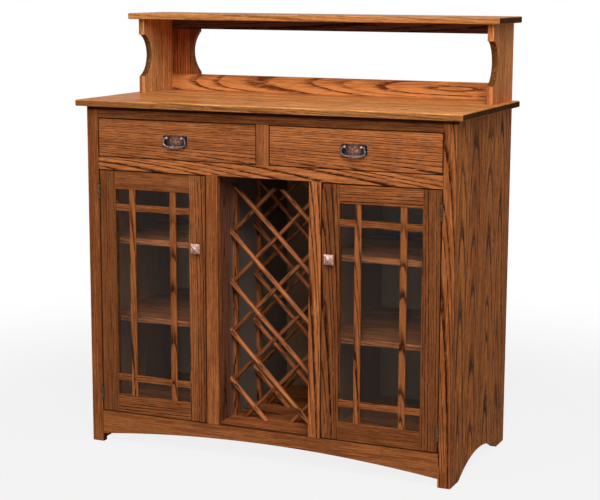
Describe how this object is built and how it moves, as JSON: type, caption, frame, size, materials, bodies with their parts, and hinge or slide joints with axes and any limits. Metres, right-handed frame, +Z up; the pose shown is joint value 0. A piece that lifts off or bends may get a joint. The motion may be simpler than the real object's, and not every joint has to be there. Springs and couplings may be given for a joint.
{
  "type": "wine cabinet",
  "caption": "Oak wine cabinet with arched base, inset drawers over glazed doors, an open lattice bay for bottles and a low hutch shelf.",
  "frame": {"origin": "on the floor, at the middle of the overall footprint", "axes": "+Z up; -Y is the front with the doors and drawers, +Y the back; +X to the right as seen from the front"},
  "size_m": [1.216, 0.55, 1.312],
  "materials": {
    "oak_case": "satin stained oak",
    "oak_top": "satin stained oak",
    "oak_inside": "satin stained oak",
    "oak_drawer": "clear sealed oak",
    "clear_glass": "clear float glass",
    "antique_copper": "hammered antique copper",
    "dark_bronze": "dark antique bronze",
    "pin_steel": "plated",
    "catch_plastic": "brown moulded"
  },
  "bodies": {
    "carcass": {"tabletop": "oak_top", "left_side_panel": "oak_case", "right_side_panel": "oak_case", "left_frame_stile": "oak_case", "right_frame_stile": "oak_case", "top_frame_rail": "oak_case", "middle_frame_rail": "oak_case", "bottom_frame_rail": "oak_case", "drawer_centre_stile": "oak_case", "left_bay_stile": "oak_case", "right_bay_stile": "oak_case", "left_divider": "oak_inside", "right_divider": "oak_inside", "case_floor": "oak_inside", "drawer_deck": "oak_drawer", "drawer_guides": "oak_drawer", "drawer_kickers": "oak_drawer", "back_panel": "oak_inside", "left_shelves": "oak_inside", "right_shelves": "oak_inside", "shelf_pins": "pin_steel", "front_lattice": "oak_case", "rear_lattice": "oak_case", "lattice_battens": "oak_case", "left_hutch_support": "oak_case", "right_hutch_support": "oak_case", "hutch_shelf": "oak_top", "hutch_backsplash": "oak_case", "hutch_apron": "oak_case", "hutch_corner_bracket": "oak_case", "hinge_frame_leaves": "dark_bronze", "door_catches": "catch_plastic"},
    "left_door": {"left_door_hinge_stile": "oak_case", "left_door_knob_stile": "oak_case", "left_door_top_rail": "oak_case", "left_door_bottom_rail": "oak_case", "left_door_glass": "clear_glass", "left_door_glazing_bars": "oak_case", "left_door_knob": "antique_copper", "left_door_hinge_leaves": "dark_bronze"},
    "left_drawer": {"left_drawer_front": "oak_case", "left_drawer_sides": "oak_drawer", "left_drawer_back": "oak_drawer", "left_drawer_bottom": "oak_drawer", "left_drawer_pull_plate": "antique_copper"},
    "left_bail": {"left_drawer_bail": "antique_copper"},
    "right_door": {"right_door_hinge_stile": "oak_case", "right_door_knob_stile": "oak_case", "right_door_top_rail": "oak_case", "right_door_bottom_rail": "oak_case", "right_door_glass": "clear_glass", "right_door_glazing_bars": "oak_case", "right_door_knob": "antique_copper", "right_door_hinge_leaves": "dark_bronze"},
    "right_drawer": {"right_drawer_front": "oak_case", "right_drawer_sides": "oak_drawer", "right_drawer_back": "oak_drawer", "right_drawer_bottom": "oak_drawer", "right_drawer_pull_plate": "antique_copper"},
    "right_bail": {"right_drawer_bail": "antique_copper"}
  },
  "joints": [
    {"name": "left_door_hinge", "type": "hinge", "parent": "carcass", "child": "left_door", "pos_m": [-0.5448, -0.2528, 0.476], "axis": [0, 0, -1], "range_deg": [0, 110]},
    {"name": "left_drawer_slide", "type": "slide", "parent": "carcass", "child": "left_drawer", "axis": [0, -1, 0], "range_m": [0, 0.33]},
    {"name": "left_bail_swing", "type": "hinge", "parent": "left_drawer", "child": "left_bail", "pos_m": [-0.283, -0.2565, 0.95675], "axis": [-1, 0, 0], "range_deg": [0, 90]},
    {"name": "right_door_hinge", "type": "hinge", "parent": "carcass", "child": "right_door", "pos_m": [0.5448, -0.2528, 0.476], "axis": [0, 0, 1], "range_deg": [0, 110]},
    {"name": "right_drawer_slide", "type": "slide", "parent": "carcass", "child": "right_drawer", "axis": [0, -1, 0], "range_m": [0, 0.33]},
    {"name": "right_bail_swing", "type": "hinge", "parent": "right_drawer", "child": "right_bail", "pos_m": [0.283, -0.2565, 0.95675], "axis": [-1, 0, 0], "range_deg": [0, 90]}
  ]
}
